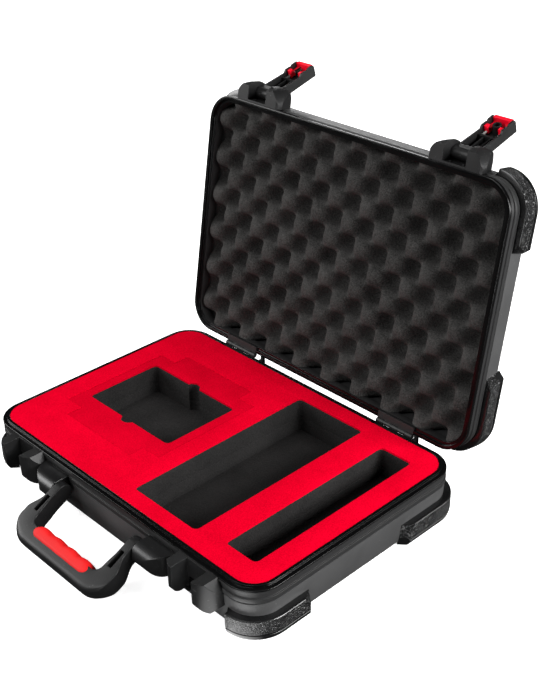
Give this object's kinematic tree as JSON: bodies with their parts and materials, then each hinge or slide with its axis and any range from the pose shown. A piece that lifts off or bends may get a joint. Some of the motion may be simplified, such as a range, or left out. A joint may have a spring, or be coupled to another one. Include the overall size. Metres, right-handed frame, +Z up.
{
  "type": "guitar pedal case",
  "caption": "Moulded equipment case for guitar pedals, lid open, with foam inlays, flip-up draw latches, a key lock, rear hinges and a swinging carry handle.",
  "frame": {"origin": "centre of the case underside, on the floor it stands on", "axes": "+Z up, -Y is the front with the handle and latches, +X is the right of the case seen from the front"},
  "size_m": [0.484, 0.5538, 0.4118],
  "materials": {
    "shell_plastic": "semi-gloss black, moulded",
    "rim_plastic": "semi-gloss black",
    "guard_plastic": "black with a fine moulded grain",
    "latch_plastic": "semi-gloss black",
    "grey_foam": "charcoal open-cell foam",
    "red_foam": "bright red closed-cell foam sheet",
    "red_plastic": "bright red, moulded",
    "red_rubber": "orange-red soft grip",
    "hinge_steel": "dark grey, matte",
    "plated_steel": "zinc plated",
    "lock_chrome": "bright chrome"
  },
  "bodies": {
    "base": {"base_shell": "shell_plastic", "base_rim_frame": "rim_plastic", "base_corner_guards": "guard_plastic", "foam_floor_pad": "grey_foam", "foam_lower": "grey_foam", "foam_upper": "grey_foam", "foam_face": "red_foam", "insert_block": "grey_foam", "insert_face": "red_foam", "keeper_left": "latch_plastic", "keeper_right": "latch_plastic", "keeper_rivets": "plated_steel", "strike_left": "plated_steel", "strike_right": "plated_steel", "handle_bracket_left": "guard_plastic", "handle_bracket_right": "guard_plastic", "handle_pin_left": "plated_steel", "handle_pin_right": "plated_steel", "hinge_base_leaf_left": "hinge_steel", "hinge_base_leaf_right": "hinge_steel", "hinge_pin_left": "plated_steel", "hinge_pin_right": "plated_steel", "hinge_base_rivets": "plated_steel", "lid_stops": "hinge_steel"},
    "lid": {"lid_shell": "shell_plastic", "lid_rim_frame": "rim_plastic", "lid_corner_guards": "guard_plastic", "lid_foam": "grey_foam", "latch_housing_left": "latch_plastic", "latch_housing_right": "latch_plastic", "latch_pin_left": "plated_steel", "latch_pin_right": "plated_steel", "housing_rivets": "plated_steel", "hinge_lid_leaf_left": "hinge_steel", "hinge_lid_leaf_right": "hinge_steel", "hinge_lid_rivets": "plated_steel"},
    "latch_left": {"latch_arm_left": "latch_plastic", "release_spring_left": "plated_steel"},
    "latch_right": {"latch_arm_right": "latch_plastic", "release_spring_right": "plated_steel", "lock_plug_right": "latch_plastic"},
    "release_left": {"release_button_left": "red_plastic"},
    "release_right": {"release_button_right": "red_plastic"},
    "lock_left": {"lock_barrel_left": "lock_chrome"},
    "handle": {"handle_frame": "latch_plastic", "handle_grip": "red_rubber"}
  },
  "joints": [
    {"name": "lid_hinge", "type": "hinge", "parent": "base", "child": "lid", "pos_m": [0, 0.1634, 0.0606], "axis": [1, 0, 0], "range_deg": [0, 100]},
    {"name": "latch_left_hinge", "type": "hinge", "parent": "lid", "child": "latch_left", "pos_m": [-0.154, 0.24057, 0.38655], "axis": [1, 0, 0], "range_deg": [0, 154.5]},
    {"name": "latch_right_hinge", "type": "hinge", "parent": "lid", "child": "latch_right", "pos_m": [0.154, 0.24057, 0.38655], "axis": [1, 0, 0], "range_deg": [0, 154.5]},
    {"name": "release_left_slide", "type": "slide", "parent": "latch_left", "child": "release_left", "axis": [0, -0.9636, -0.2672], "range_m": [0, 0.004], "stiffness_N_per_m": 600, "springref_m": -0.002, "deforming": ["release_spring_left"]},
    {"name": "release_right_slide", "type": "slide", "parent": "latch_right", "child": "release_right", "axis": [0, -0.9636, -0.2672], "range_m": [0, 0.004], "stiffness_N_per_m": 600, "springref_m": -0.002, "deforming": ["release_spring_right"]},
    {"name": "lock_left_turn", "type": "hinge", "parent": "latch_left", "child": "lock_left", "pos_m": [-0.154, 0.29454, 0.40152], "axis": [0, 0.2672, -0.9636], "range_deg": [0, 90]},
    {"name": "handle_swing", "type": "hinge", "parent": "base", "child": "handle", "pos_m": [0, -0.1745, 0.038], "axis": [-1, 0, 0], "range_deg": [-61.5, 116.5]}
  ]
}
